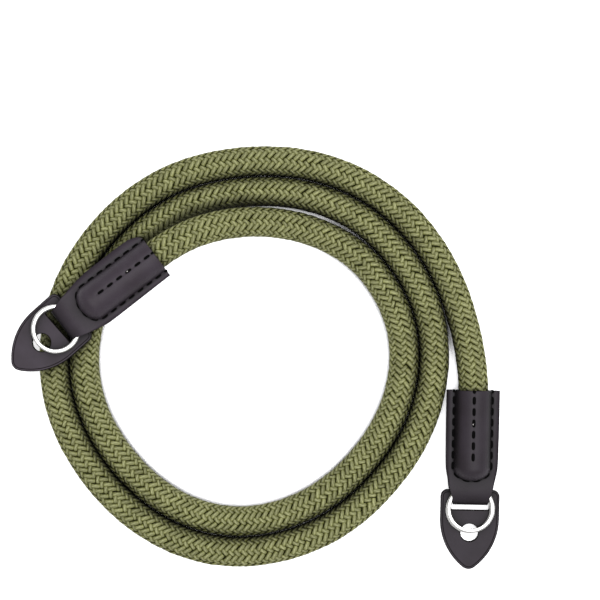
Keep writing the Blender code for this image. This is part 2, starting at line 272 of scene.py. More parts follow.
# The front end of each right-leaning float goes deep under its neighbour, and every other end
# stays up on it. The left-leaning floats are longer, lie higher and leave an open gap between
# them. The columns are the share of the rise lost at the hind end and at the front end, how
# much longer than the length that shows the float is drawn at each, its length and its width,
# both in repeats along the rope and in columns round it, and how much higher it lies.
LEANS_RIGHT = ((0.15, 1.6), (1.1, 1.15), (0.88, 1.0), (0.57, 0.51), 0.0)
LEANS_LEFT = ((0.2, 0.2), (1.06, 1.06), (0.88, 1.18), (0.545, 0.57), 0.07)
SHOWS_IN_MOUTH = 4.0            # how far the braid is drawn inside a leather mouth
SHEATH_PIECES = 3
JITTER = (0.1, 0.07, 0.04)      # how far a float strays along, round and out of the rope
SHADE_SPREAD = 0.18             # how far its tone strays
FLATTENED_BELOW = 0.6           # the rope's weight presses its underside flat on the table
FLATTENED_TO = 0.62

column_width = math.tau * (SHEATH_RADIUS + FLOAT_RISE) / COLUMNS
floats_from = ROPE_IN_SLEEVE - SHOWS_IN_MOUTH
repeats = int((rope_length - 2 * floats_from) / REPEAT / SHEATH_PIECES)
floats_from = (rope_length - repeats * SHEATH_PIECES * REPEAT) / 2

# Polyester yarn of many fine filaments, matt. Its colour carries painted light and shade: pale
# olive on the crest of each float, a deep saturated olive where it turns down between the
# neighbours, and darker still in painted shade where other surfaces are near, so that yarns and
# strands part in nearly black lines. Filaments of 0.03 mm are drawn as plies of 0.25 mm.
FILAMENT_PLY = 0.25
YARN_SHADE_REACH = 6.0                # how near another surface must be to darken the yarn with painted shade
YARN_SHADE_DEPTH = 2.3


def sheltered(tree, colour, reach, depth):
    """The colour, darkened where other surfaces within reach keep the light off it."""
    openness = add(tree, "AmbientOcclusion", {"samples": 4, "Distance": reach * MM})
    share = add(tree, "Math", {"operation": 'POWER'})
    tree.links.new(openness.outputs["AO"], share.inputs[0])
    share.inputs[1].default_value = depth
    scaled = add(tree, "VectorMath", {"operation": 'SCALE'}, Scale=share.outputs["Value"])
    tree.links.new(colour, scaled.inputs[0])
    return scaled.outputs["Vector"]


yarn_look, tree, shader = new_look("braided olive polyester yarn")
depth = add(tree, "Attribute", {"attribute_name": "height"}).outputs["Fac"]
shade = add(tree, "Attribute", {"attribute_name": "shade"}).outputs["Fac"]
yarn = add(tree, "UVMap", {"uv_map": "yarn"}).outputs["UV"]
stretched = add(tree, "Mapping", {"Scale": (0.35, 1.0, 1.0)}, Vector=yarn)
fuzz = add(tree, "TexNoise", {"Scale": 1 / FILAMENT_PLY, "Detail": 3.0},
           Vector=stretched.outputs["Vector"])
# Painted light and shade: nearly black where a float turns down, pale olive on its crest.
ramp = add(tree, "ValToRGB", Fac=depth)
stops = ramp.color_ramp.elements
stops[0].position, stops[0].color = 0.0, linear("#080900")
stops[1].position, stops[1].color = 1.0, linear("#717254")
middle_stop = stops.new(0.4)
middle_stop.color = linear("#444611")
mixed = add(tree, "MapRange", {"To Min": 0.73, "To Max": 1.27}, Value=shade)
worn = add(tree, "MapRange", {"From Min": 0.3, "From Max": 0.7, "To Min": 0.5,
                              "To Max": 1.5}, Value=fuzz.outputs["Fac"])
# Painted shade: the yarn goes darker where other surfaces are near.
tinted = sheltered(tree, ramp.outputs["Color"], YARN_SHADE_REACH, YARN_SHADE_DEPTH)
for strength in (mixed.outputs["Result"], worn.outputs["Result"]):
    scaled = add(tree, "VectorMath", {"operation": 'SCALE'}, Scale=strength)
    tree.links.new(tinted, scaled.inputs[0])
    tinted = scaled.outputs["Vector"]
tree.links.new(tinted, shader.inputs["Base Color"])
plies = add(tree, "Bump", {"Strength": 0.6, "Distance": 0.08 * MM},
            Height=fuzz.outputs["Fac"])
tree.links.new(plies.outputs["Normal"], shader.inputs["Normal"])
shader.inputs["Roughness"].default_value = 0.8
shader.inputs["Specular IOR Level"].default_value = 0.06


def from_middle(grid_place, places):
    """The grid's evenly spaced place, -1 to 1, moved to one of the places either side."""
    steps = len(places) - 1
    return math.copysign(places[round(abs(grid_place) * steps)], grid_place)


# One repeat on the flat, a float in each column: local X along the rope, Y round it and Z out
# of it. Every other column leans the other way and lies half a repeat further. The yarn's own
# map is in millimetres, and its height is 1 on the crest of a float and 0 where it goes under.
yarn_long = math.hypot(REPEAT, column_width)
bm = bmesh.new()
height = bm.verts.layers.float.new("height")
uv = bm.loops.layers.uv.new("yarn")
for column in range(COLUMNS):
    other_hand = column % 2
    end_losses, drawn_longer, length, width, lift = LEANS_LEFT if other_hand else LEANS_RIGHT
    lean = -1 if other_hand else 1
    verts = bmesh.ops.create_grid(bm, x_segments=2 * len(FLOAT_ALONG) - 2,
                                  y_segments=2 * len(FLOAT_ACROSS) - 2, size=1)["verts"]
    faces = {face for vert in verts for face in vert.link_faces}
    for face in faces:
        for corner in face.loops:
            corner[uv].uv = (corner.vert.co.x * yarn_long / 2, corner.vert.co.y * yarn_long / 4)
    if other_hand:
        bmesh.ops.reverse_faces(bm, faces=list(faces))
    for vert in verts:
        front = vert.co.x > 0
        along = from_middle(vert.co.x, FLOAT_ALONG)
        across = from_middle(vert.co.y, FLOAT_ACROSS)
        # Nearly flat on top, with steep sides, and turned down only towards its ends.
        rise = 1 - abs(across) ** 12 - end_losses[front] * abs(along) ** 5
        # The height also sets the painted light and shade in the yarn's colour.
        vert[height] = max(rise, 0.0) * (1 - 0.3 * across ** 2 - 0.15 * along ** 2)
        along *= drawn_longer[front]
        run = (along * length[0] + across * width[0] + other_hand) / 2
        round_rope = (across * width[1] - along * length[1]) * lean / 2 + column
        vert.co = (run * REPEAT, round_rope * column_width, FLOAT_RISE * rise + lift)
verts_in_float = len(bm.verts) // COLUMNS
one_repeat = new_piece("one_repeat", bm, yarn_look)
array = one_repeat.modifiers.new("along the rope", 'ARRAY')
array.use_relative_offset = False
array.use_constant_offset = True
array.constant_offset_displace = (REPEAT, 0, 0)
array.count = repeats
depsgraph = bpy.context.evaluated_depsgraph_get()
straight = bpy.data.meshes.new_from_object(one_repeat.evaluated_get(depsgraph))

rng = np.random.default_rng(7)
sheath = []
for part in range(SHEATH_PIECES):
    mesh = straight.copy()
    mesh.name = f"braided_sheath_{part + 1}"
    points = read_points(mesh)
    count = len(points) // verts_in_float
    jitter = np.repeat(rng.normal(0, 1, (count, 4)), verts_in_float, axis=0)
    run = floats_from + part * repeats * REPEAT + points[:, 0] + JITTER[0] * jitter[:, 0]
    sideways = points[:, 1] + JITTER[1] * jitter[:, 1]
    out = SHEATH_RADIUS + points[:, 2] + JITTER[2] * jitter[:, 2]
    round_rope = sideways / column_width * math.tau / COLUMNS
    points = on_rope(run, round_rope, out)
    pressed = np.minimum(points[:, 2] - FLATTENED_BELOW * MM, 0)
    points[:, 2] -= pressed * (1 - FLATTENED_TO)
    write_points(mesh, points)
    shades = mesh.attributes.new("shade", 'FLOAT', 'POINT')
    shades.data.foreach_set("value", np.clip(0.5 + SHADE_SPREAD * jitter[:, 3], 0, 1))
    made = bpy.data.objects.new(mesh.name, mesh)
    bpy.context.scene.collection.objects.link(made)
    sheath.append(made)
bpy.data.objects.remove(one_repeat)

for piece in [core] + sheath:
    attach(piece, "root")
    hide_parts("rope")

# ==== leather ends ========================================================================
# Each end is one strip of dark brown leather, 1.2 mm thick. It lies over the end of the rope,
# goes down through the guard's slot, round its bar and back underneath, and the two layers
# are sewn together round the rope. Its cut edges are rubbed round and inked black.
LEATHER_DRAWN = 1.16            # leaves a fine dark line between the two layers
# Reach and height of the middle of the leather, from the mouth on top to the mouth below.
STRIP_LINE = (
    (0, 6.6), (8, 6.6), (16, 6.6), (21, 6.55), (25.2, 6.45), (27.8, 6.25), (29.7, 6.1),
    (30.8, 6.1), (32.2, 6.15), (33.4, 6.15), (34.6, 6.0), (35.8, 5.65), (36.8, 5.1),
    (37.6, 4.4), (38.1, 3.6), (38.3, 2.9), (38.34, 2.3), (38.27, 1.7), (38.02, 1.05),
    (37.45, 0.68), (36.6, 0.6), (34.4, 0.6), (33.4, 0.75), (32.5, 1.35), (31.9, 2.0),
    (31.35, 2.8), (30.8, 3.7), (30.1, 4.4), (29.2, 4.75), (27.8, 5.0), (25.2, 5.2),
    (21, 5.35), (16, 5.4), (8, 5.4), (0, 5.4),
)
# Reach and half width of the strip.
STRIP_WIDTH = (
    (0, 8.9), (8, 8.9), (16, 8.85), (21, 8.8), (23.5, 8.75), (25.2, 8.7), (26.6, 8.6),
    (27.8, 8.4), (28.8, 8.2), (29.7, 8.0), (30.4, 7.85), (31.1, 7.7), (31.9, 7.55),
    (33.0, 7.3), (34.2, 6.95), (35.6, 6.5), (36.7, 6.15), (37.5, 5.95), (38.2, 5.85),
    (38.7, 5.8),
)
# The left end is cut less evenly: the corner of its mouth on the outside of the coil is rounded
# off, and its other long edge runs in towards the mouth. Reach and half width of both sides.
ROUNDED_SIDE = ((0.0, 7.0), (0.7, 7.9), (1.5, 8.5), (2.8, 9.0), (4.3, 9.35), (8.0, 9.5),
                (21, 9.3), (25.2, 8.9), (27.8, 8.4))
SLANTED_SIDE = ((0.0, 8.3), (8.0, 8.45), (16, 8.6), (21, 8.7), (25.2, 8.7), (27.8, 8.4))
BULGE = 5.6                     # middle of the leather over the rope, from the rope's axis
FOOT_RADIUS = 0.85              # hollow of the leather where the bulge meets the flat seam
DOME_START = 25.9               # where the bulge starts to close over the cut rope
DOME_SHORTER = 1.4              # its width over its length
SEAM_FROM_AXIS = 6.4            # stitch line beside the rope and round the dome
MIDDLE_SEAM = {"right": -0.15, "left": -0.7}    # how far across the middle stitches lie
MIDDLE_SEAM_ENDS = 23.6
SEAM_ENDS = 31.0                # past the dome
GROOVE_DEPTH = 0.2
GROOVE_WIDTH = 0.45
STITCH_PITCH = 3.72
FIRST_STITCH = 3.4
EDGE_ROUNDING = 0.3
# Rows of the strip's mesh from mouth to mouth: how many, and how far apart they are.
ROW_GROUPS = ((68, 0.35), (118, 0.22), (60, 0.6))
LAST_ROW_LEAST = 0.2            # how far they stay from the row on the lower mouth
# Its columns, out from the middle. One more lies on the cut edge.
INNER_COLUMNS = np.array((
    0.0, 0.15, 0.3, 0.45, 0.6, 0.8, 1.1, 1.6, 2.2, 2.9, 3.6, 4.2, 4.7, 5.1, 5.4,
    5.6, 5.8, 5.95, 6.1, 6.25, 6.4, 6.55, 6.7, 6.9, 7.2,
))
EDGE_MARGIN = 0.15              # they draw together where the last is nearer the edge than this

line_u, line_z = np.array(STRIP_LINE, float).T
line_s = np.concatenate([[0], np.cumsum(np.hypot(np.diff(line_u), np.diff(line_z)))])
strip_s = np.linspace(0, line_s[-1], 3000)
strip_u = natural_spline(line_s, line_u, strip_s)
strip_z = natural_spline(line_s, line_z, strip_s)
fold_s = strip_s[np.argmax(strip_u)]
row_steps = np.concatenate([[step] * count for count, step in ROW_GROUPS])
rows_s = np.concatenate([[0], np.cumsum(row_steps)])
rows_s = np.append(rows_s[rows_s < line_s[-1] - LAST_ROW_LEAST], line_s[-1])


def half_width(side, reach, on_rounded_side):
    """Half width at a reach. Only the left end's two sides differ."""
    full = np.interp(reach, *zip(*STRIP_WIDTH))
    cut = np.where(on_rounded_side, np.interp(reach, *zip(*ROUNDED_SIDE)),
                   np.interp(reach, *zip(*SLANTED_SIDE)))
    return np.where((side == "left") & (reach < ROUNDED_SIDE[-1][0]), cut, full)


def from_rope(reach, across):
    """Distance from the rope's axis, measured round the shortened dome past its end."""
    return np.hypot(across, np.maximum(reach - DOME_START, 0) * DOME_SHORTER)


def over_rope(away, flat):
    """Height of the middle of the leather, at a distance from the rope's axis."""
    above = flat - ROPE_HEIGHT + FOOT_RADIUS
    foot = np.sqrt(np.maximum((BULGE + FOOT_RADIUS) ** 2 - above ** 2, 0))
    leaves = foot * BULGE / (BULGE + FOOT_RADIUS)
    bulge = ROPE_HEIGHT + np.sqrt(np.maximum(BULGE ** 2 - away ** 2, 0))
    hollow = np.sqrt(np.maximum(FOOT_RADIUS ** 2 - np.clip(foot - away, 0, None) ** 2, 0))
    hollow = flat + FOOT_RADIUS - hollow
    return np.where(away < leaves, bulge, np.where(away < foot, hollow, flat))


def groove(side, reach, across):
    """How far the stitches pull the leather in, most at the middle of each."""
    off_middle = (across - MIDDLE_SEAM[side]) / GROOVE_WIDTH
    middle = np.exp(-off_middle ** 2) * (reach < MIDDLE_SEAM_ENDS)
    beside = np.exp(-((from_rope(reach, across) - SEAM_FROM_AXIS) / GROOVE_WIDTH) ** 2)
    beat = np.cos(math.tau * (reach - FIRST_STITCH) / STITCH_PITCH)
    deepest = np.maximum(middle, beside * (reach < SEAM_ENDS))
    return GROOVE_DEPTH * deepest * (0.75 + 0.25 * beat)


def leather_height(side, reach, across, flat, on_top):
    """Height of the middle of the leather, which is bulged by the rope and sewn."""
    if not on_top:
        flipped = 2 * ROPE_HEIGHT - flat
        return 2 * ROPE_HEIGHT - leather_height(side, reach, across, flipped, True)
    return over_rope(from_rope(reach, across), flat) - groove(side, reach, across)


# Chrome-tanned leather, dyed through and lightly waxed: nearly black brown with a broad soft
# gloss, a fine grain of about 0.4 mm, and slow clouds in its tone. The left end is paler. Painted
# shade darkens it where other surfaces are near, in its folds and seams, on the flanks of the
# bulge and most in the bend round the guard, which is nearly black. Its edges are inked.
GRAIN = 0.4
CLOUDS = 7.0
CUT_FIBRES = 0.3
LEATHER_SHADE_REACH = 5.0                 # how near another surface must be to darken the leather with painted shade
LEATHER_SHADE_DEPTH = 2.1
PALENESS = {"right": 1.0, "left": 1.5}
# Painted shade on the bend round the guard, which turns away from the light.
BEND_REACHES = (28.0, 31.0, 34.5, 36.5, 37.8, 38.4)
BEND_SHADE_KEPT = (1.0, 0.88, 0.88, 0.7, 0.35, 0.1)      # the share of it kept at these reaches
FLANK_FROM_AXIS, FLANK_WIDTH = 5.1, 0.9
# Painted shade on the flanks of the bulge: the share of the tone they keep, the one on the
# negative side across first.
FLANK_SHADE_KEPT = {"right": (0.35, 0.25), "left": (0.9, 0.9)}
leather_look, tree, shader = new_look("waxed dark brown leather")
place = add(tree, "TexCoord").outputs["Object"]
clouds = add(tree, "TexNoise", {"Scale": 1 / (CLOUDS * MM), "Detail": 2.0}, Vector=place)
grain = add(tree, "TexVoronoi", {"Scale": 1 / (GRAIN * MM), "feature": 'SMOOTH_F1'},
            Vector=place)
tone = add(tree, "ValToRGB", Fac=clouds.outputs["Fac"])
tone.color_ramp.elements[0].position = 0.3
tone.color_ramp.elements[0].color = linear("#1D181D")
tone.color_ramp.elements[1].position = 0.7
tone.color_ramp.elements[1].color = linear("#231E24")
# Paleness holds the left end's paler tone and the painted shade on bends and flanks.
paleness = add(tree, "Attribute", {"attribute_name": "paleness"}).outputs["Fac"]
paler = add(tree, "VectorMath", {"operation": 'SCALE'}, Scale=paleness)
tree.links.new(tone.outputs["Color"], paler.inputs[0])
# Painted shade, not rubbing: the leather goes darker where other surfaces are near.
rubbed = sheltered(tree, paler.outputs["Vector"], LEATHER_SHADE_REACH, LEATHER_SHADE_DEPTH)
tree.links.new(rubbed, shader.inputs["Base Color"])
pores = add(tree, "Bump", {"Strength": 0.35, "Distance": 0.05 * MM},
            Height=grain.outputs["Distance"])
tree.links.new(pores.outputs["Normal"], shader.inputs["Normal"])
shader.inputs["Roughness"].default_value = 0.55
shader.inputs["Specular IOR Level"].default_value = 0.15

# Edge ink on the cut leather: black with a brown cast, a little rougher than the face because
# of the fibres of about 0.3 mm under it.
edge_look, tree, shader = new_look("inked leather edge")
shader.inputs["Base Color"].default_value = linear("#090706")
shader.inputs["Roughness"].default_value = 0.7
shader.inputs["Specular IOR Level"].default_value = 0.03
fibres = add(tree, "TexNoise", {"Scale": 1 / (CUT_FIBRES * MM), "Detail": 3.0},
             Vector=add(tree, "TexCoord").outputs["Object"])
rough = add(tree, "Bump", {"Strength": 0.5, "Distance": 0.06 * MM},
            Height=fibres.outputs["Fac"])
tree.links.new(rough.outputs["Normal"], shader.inputs["Normal"])


def to_row_frame(side, points):
    """Points in millimetres in a leather end's directions, in metres in the row's frame."""
    matrix = np.array(end_frame(side))
    return points @ matrix[:3, :3].T + matrix[:3, 3]


def mark_paleness(mesh, values):
    """How pale the leather is at each point of a mesh, painted shade included, 1 being its plain
    tone.
    """
    marks = mesh.attributes.new("paleness", 'FLOAT', 'POINT')
    marks.data.foreach_set("value", values)


for side in ENDS:
    across_count = 2 * len(INNER_COLUMNS)
    bm = bmesh.new()
    bmesh.ops.create_grid(bm, x_segments=len(rows_s) - 1, y_segments=across_count, size=0.5)
    made = new_piece("sewn_end_" + side, bm, leather_look, edge_look)
    spots = read_points(made.data)
    row = np.rint((spots[:, 0] + 0.5) * (len(rows_s) - 1)).astype(int)
    column = np.rint((spots[:, 1] + 0.5) * across_count).astype(int) - across_count // 2
    s = rows_s[row]
    reach, flat = np.interp(s, strip_s, strip_u), np.interp(s, strip_s, strip_z)
    half = half_width(side, reach, column < 0)
    narrowed = np.minimum(half / (INNER_COLUMNS[-1] + EDGE_MARGIN), 1.0)
    inner = INNER_COLUMNS[np.minimum(abs(column), len(INNER_COLUMNS) - 1)] * narrowed
    across = np.sign(column) * np.where(abs(column) == len(INNER_COLUMNS), half, inner)
    height = np.where(s < fold_s, leather_height(side, reach, across, flat, True),
                      leather_height(side, reach, across, flat, False))
    write_points(made.data, to_row_frame(side, np.stack([reach, across, height], axis=1)))
    # Painted shade darkens the bend round the guard and the flanks of the bulge.
    pale = PALENESS[side] * np.interp(reach, BEND_REACHES, BEND_SHADE_KEPT)
    for flank, kept in zip((-FLANK_FROM_AXIS, FLANK_FROM_AXIS), FLANK_SHADE_KEPT[side]):
        on_flank = np.exp(-((across - flank) / FLANK_WIDTH) ** 2) * (reach < DOME_START)
        pale *= 1 - (1 - kept) * on_flank
    mark_paleness(made.data, pale)
    thick = made.modifiers.new("leather", 'SOLIDIFY')
    thick.thickness = LEATHER_DRAWN * MM
    thick.offset = 0
    thick.use_even_offset = True
    thick.material_offset_rim = 1
    thick.bevel_convex = 1.0    # the weight by which the bevel below finds the cut edges
    rounded = made.modifiers.new("rubbed edges", 'BEVEL')
    rounded.limit_method = 'WEIGHT'
    rounded.width = EDGE_ROUNDING * MM
    rounded.segments = 2
    rounded.profile = 0.5
    rounded.material = 1
    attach(made, "root")
    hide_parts("leather_end_" + side)

# ==== stitches ============================================================================
# Black waxed thread, 0.8 mm thick, sewn by hand through both layers: one line along each side
# and round the rope's end, and a line down the middle that also holds the rope. The thread
# turns over the edge of the mouth, and a melted end of it shows on the middle line.
STITCH_LENGTH = {"right": 2.6, "left": 2.3}
THREAD_WIDTH = {"right": 1.1, "left": 0.85}     # pressed flatter on the right
THREAD_HEIGHT = 0.6
THREAD_SUNK = 0.14              # how far the thread's middle lies in the leather
SEAM_STITCHES = 18
MIDDLE_STITCHES = 6
MIDDLE_FIRST = {"right": 3.25, "left": 2.6}
MIDDLE_PITCH = 3.77
WRAP_FROM = 0.9                 # where the thread that turns over the mouth's edge starts
WRAP_DOWN = 1.3
MELTED_END = {"right": (11.1, -0.4), "left": (10.5, -0.8)}
BEAD_LENGTH, BEAD_WIDTH, BEAD_HEIGHT = 0.5, 0.4, 0.3
BEAD_LIFT = 0.25                # above the middle of the thread
TWIST = 0.8                     # puts the thread's twisted strands 0.4 to 0.5 mm apart
# Waxed polyester thread: deep black, twisted from fine strands, with hardly any gloss.
thread_look, tree, shader = new_look("black waxed thread")
shader.inputs["Base Color"].default_value = linear("#020202")
shader.inputs["Roughness"].default_value = 0.6
shader.inputs["Specular IOR Level"].default_value = 0.02
twist = add(tree, "TexWave", {"Scale": 1 / (TWIST * MM), "bands_direction": 'DIAGONAL'},
            Vector=add(tree, "TexCoord").outputs["Object"])
strands = add(tree, "Bump", {"Strength": 0.4, "Distance": 0.08 * MM},
              Height=twist.outputs["Fac"])
tree.links.new(strands.outputs["Normal"], shader.inputs["Normal"])
# Thread end melted flat with a flame: a small grey glossy bead.
melted_look, tree, shader = new_look("melted thread end")
shader.inputs["Base Color"].default_value = linear("#7E7A78")
shader.inputs["Roughness"].default_value = 0.3


def thread(bm, line_points, width, height, up, material=0):
    """A rounded length of thread along a short line, in a leather end's millimetres."""
    line_points = np.array(line_points, float)
    made = bmesh.ops.create_uvsphere(bm, u_segments=10, v_segments=10, radius=1)["verts"]
    runs = np.concatenate([[0], np.cumsum(np.linalg.norm(np.diff(line_points, axis=0), axis=1))])
    for vert in made:
        share = (vert.co.z + 1) / 2 * runs[-1]
        middle = Vector([np.interp(share, runs, line_points[:, i]) for i in range(3)])
        near, far = max(share - 0.1, 0), min(share + 0.1, runs[-1])
        ahead = Vector([np.interp(far, runs, line_points[:, i])
                        - np.interp(near, runs, line_points[:, i]) for i in range(3)])
        sideways = ahead.cross(Vector(up)).normalized()
        top = sideways.cross(ahead).normalized()
        around = Vector((vert.co.x, vert.co.y))
        fullness = (1 - abs(vert.co.z) ** 4) ** 0.5
        around = around.normalized() * fullness if around.length else around
        vert.co = middle + sideways * around.x * width / 2 + top * around.y * height / 2
    for face in {face for vert in made for face in vert.link_faces}:
        face.material_index = material


# The seam beside and round the rope as a line of places, and how far along it each is.
round_dome = np.linspace(-math.pi / 2, math.pi / 2, 60)
seam_u = np.pad(DOME_START + SEAM_FROM_AXIS / DOME_SHORTER * np.cos(round_dome), 1)
seam_v = np.pad(SEAM_FROM_AXIS * np.sin(round_dome), 1, mode='edge')
seam_run = np.concatenate([[0], np.cumsum(np.hypot(np.diff(seam_u), np.diff(seam_v)))])


def on_leather(side, reach, across, on_top):
    """The outside of the leather, where a thread lies."""
    half_line = strip_s < fold_s if on_top else strip_s > fold_s
    order = np.argsort(strip_u[half_line])
    flat = np.interp(reach, strip_u[half_line][order], strip_z[half_line][order])
    height = float(leather_height(side, np.array(reach), np.array(across), flat, on_top))
    lift = LEATHER_DRAWN / 2 + THREAD_HEIGHT / 2 - THREAD_SUNK
    return (reach, across, height + (lift if on_top else -lift))


seam_pitch = (seam_run[-1] - 2 * FIRST_STITCH) / (SEAM_STITCHES - 1)
for side in ENDS:
    bm = bmesh.new()
    half, wide = STITCH_LENGTH[side] / 2, THREAD_WIDTH[side]
    for on_top in (True, False):
        up = (0, 0, 1) if on_top else (0, 0, -1)
        fewer = 0 if on_top else 1      # the stitches below lie between those on top
        for stitch in range(SEAM_STITCHES - fewer):
            middle = FIRST_STITCH + (stitch + fewer / 2) * seam_pitch
            spots = np.linspace(middle - half, middle + half, 5)
            path = zip(np.interp(spots, seam_run, seam_u), np.interp(spots, seam_run, seam_v))
            thread(bm, [on_leather(side, u, v, on_top) for u, v in path], wide,
                   THREAD_HEIGHT, up)
        for stitch in range(MIDDLE_STITCHES - fewer):
            middle = MIDDLE_FIRST[side] + (stitch + fewer / 2) * MIDDLE_PITCH
            spots = np.linspace(middle - half, middle + half, 3)
            thread(bm, [on_leather(side, u, MIDDLE_SEAM[side], on_top) for u in spots],
                   wide, THREAD_HEIGHT, up)
        wraps = [-SEAM_FROM_AXIS, SEAM_FROM_AXIS] + [MIDDLE_SEAM[side]] * on_top
        for across in wraps:
            start = on_leather(side, WRAP_FROM, across, on_top)
            edge = on_leather(side, 0, across, on_top)
            depth = -WRAP_DOWN if on_top else WRAP_DOWN
            path = [start, (0.2, across, edge[2]), (0.05, across, edge[2] + depth * 0.35),
                    (0.05, across, edge[2] + depth)]
            thread(bm, path, wide, THREAD_HEIGHT, (-0.5, 0, up[2]))
    bead = Vector(on_leather(side, *MELTED_END[side], True)) + Vector((0, 0, BEAD_LIFT))
    half_bead = Vector((BEAD_LENGTH / 2, 0, 0))
    thread(bm, [bead - half_bead, bead + half_bead], BEAD_WIDTH, BEAD_HEIGHT, (0, 0, 1),
           material=1)
    bmesh.ops.recalc_face_normals(bm, faces=bm.faces)
    made = new_piece("stitches_" + side, bm, thread_look, melted_look)
    write_points(made.data, to_row_frame(side, read_points(made.data)))
    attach(made, "root")

# ==== leather guards ======================================================================
# A pointed plate cut from the same leather, 1.4 mm thick, that keeps the ring off the camera.
# It has a slot for the loop and a round hole, a line creased along its edge, and inked edges.
GUARD_THICKNESS = 1.4
GUARD_WIDTH = 19.9
GUARD_STRAIGHT = 10.1           # from the top edge to where the flanks start to curve in
GUARD_FLANK_RADIUS = 20.7
GUARD_POINT_RADIUS = 3.2
GUARD_CORNER_RADIUS = 2.3
GUARD_TOP_HEIGHT = 1.885        # of the underside, at the top edge
GUARD_TILT = 3.94               # degrees down towards the point
GUARD_SHARP_FROM = 18.0         # degrees, from which two faces meet in an edge
SLOT_NEAR, SLOT_LENGTH, SLOT_CORNER_RADIUS = 3.8, 12.8, 0.5
SLOT_WIDTH = {"right": 3.05, "left": 3.6}      # the left one has been pulled wider
HOLE_FROM_TOP, HOLE_DIAMETER = 14.6, 6.0
CREASE_FROM_EDGE = 0.7
CREASE_WIDTH = 0.24
CREASE_DEPTH = 0.12
GUARD_ROUNDING = ((0.25, 0.0), (0.07, 0.07), (0.0, 0.25))   # in from the edge, off the face
# How the guard and ring hang in each loop: the guard's top edge from the mouth, how far it has
# slid across and turned, and the ring's centre from the mouth and from the guard's middle.
HANG_COLUMNS = ("guard_top", "guard_across", "guard_turn", "ring_centre", "ring_across")
HANGS = {
    "right": dict(zip(HANG_COLUMNS, (33.7, 0.0, 0.0, 40.0, 0.15))),
    "left": dict(zip(HANG_COLUMNS, (32.85, -0.7, 4.2, 40.84, -0.3))),
}


def arc(centre, radius, start, end, steps):
    angles = np.radians(np.linspace(start, end, steps + 1))
    return [(centre[0] + radius * math.cos(a), centre[1] + radius * math.sin(a))
            for a in angles]


def guard_seat(side):
    """From a guard's own millimetres, reach from its top edge, to metres in the row's frame."""
    hang = HANGS[side]
    bar = Matrix.Translation((hang["guard_top"], hang["guard_across"], GUARD_TOP_HEIGHT))
    turn = Matrix.Rotation(math.radians(hang["guard_turn"]), 4, 'Z')
    return end_frame(side) @ bar @ turn @ Matrix.Rotation(math.radians(GUARD_TILT), 4, 'Y')


def guard_outline(side, inward):
    """The guard's outline, moved into the leather all round, the same at both ends."""
    flank_y = GUARD_WIDTH / 2 - GUARD_FLANK_RADIUS
    point_from_flank = GUARD_FLANK_RADIUS - GUARD_POINT_RADIUS
    lean = math.degrees(math.asin(-flank_y / point_from_flank))
    point_x = GUARD_STRAIGHT + point_from_flank * math.cos(math.radians(lean))
    corner = (GUARD_CORNER_RADIUS, GUARD_WIDTH / 2 - GUARD_CORNER_RADIUS)
    flank = arc(corner, GUARD_CORNER_RADIUS - inward, 180, 90, 8)
    flank += arc((GUARD_STRAIGHT, flank_y), GUARD_FLANK_RADIUS - inward, 90, lean, 24)
    flank += arc((point_x, 0), GUARD_POINT_RADIUS - inward, lean, 0, 8)[1:]
    return flank + [(x, -y) for x, y in flank[-2::-1]]


def slot_outline(side, inward):
    """The slot's outline, also moved into the leather."""
    near = SLOT_NEAR + SLOT_CORNER_RADIUS
    far = SLOT_NEAR + SLOT_WIDTH[side] - SLOT_CORNER_RADIUS
    out = SLOT_LENGTH / 2 - SLOT_CORNER_RADIUS
    outline = []
    for turn, corner in enumerate(((far, out), (near, out), (near, -out), (far, -out))):
        outline += arc(corner, SLOT_CORNER_RADIUS + inward, 90 * turn, 90 * turn + 90, 4)
    return outline


def hole_outline(side, inward):
    """The round hole's outline, moved likewise, the same at both ends."""
    return arc((HOLE_FROM_TOP, 0), HOLE_DIAMETER / 2 + inward, 0, 360, 36)[:-1]


def loop_of_edges(bm, outline, height):
    verts = [bm.verts.new((x, y, height)) for x, y in outline]
    return [bm.edges.new(pair) for pair in zip(verts, verts[1:] + verts[:1])]


cut_edge = list(GUARD_ROUNDING)
cut_edge += [(inward, GUARD_THICKNESS - up) for inward, up in GUARD_ROUNDING[::-1]]
crease = [(CREASE_FROM_EDGE, GUARD_THICKNESS),
          (CREASE_FROM_EDGE + CREASE_WIDTH / 2, GUARD_THICKNESS - CREASE_DEPTH),
          (CREASE_FROM_EDGE + CREASE_WIDTH, GUARD_THICKNESS)]
for side in ENDS:
    bm = bmesh.new()
    underside, top = [], []
    for outline, rows in ((guard_outline, cut_edge + crease), (slot_outline, cut_edge),
                          (hole_outline, cut_edge)):
        loops = [loop_of_edges(bm, outline(side, inward), up) for inward, up in rows]
        for lower, upper in zip(loops, loops[1:]):
            bmesh.ops.bridge_loops(bm, edges=lower + upper)
        underside += loops[0]
        top += loops[-1]
    for borders in (underside, top):
        bmesh.ops.triangle_fill(bm, edges=borders, use_beauty=True)
    bmesh.ops.recalc_face_normals(bm, faces=bm.faces)
    bm.normal_update()
    for face in bm.faces:       # ink on the cut edges, burnt dark in the creased line
        face.material_index = int(abs(face.normal.z) < 0.95)
    bmesh.ops.transform(bm, matrix=guard_seat(side), verts=bm.verts)
    made = new_piece("guard_" + side, bm, leather_look, edge_look)
    mark_paleness(made.data, np.full(len(made.data.vertices), PALENESS[side]))
    made.data.set_sharp_from_angle(angle=math.radians(GUARD_SHARP_FROM))
    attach(made, "root")
    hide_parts("leather_guard_" + side)

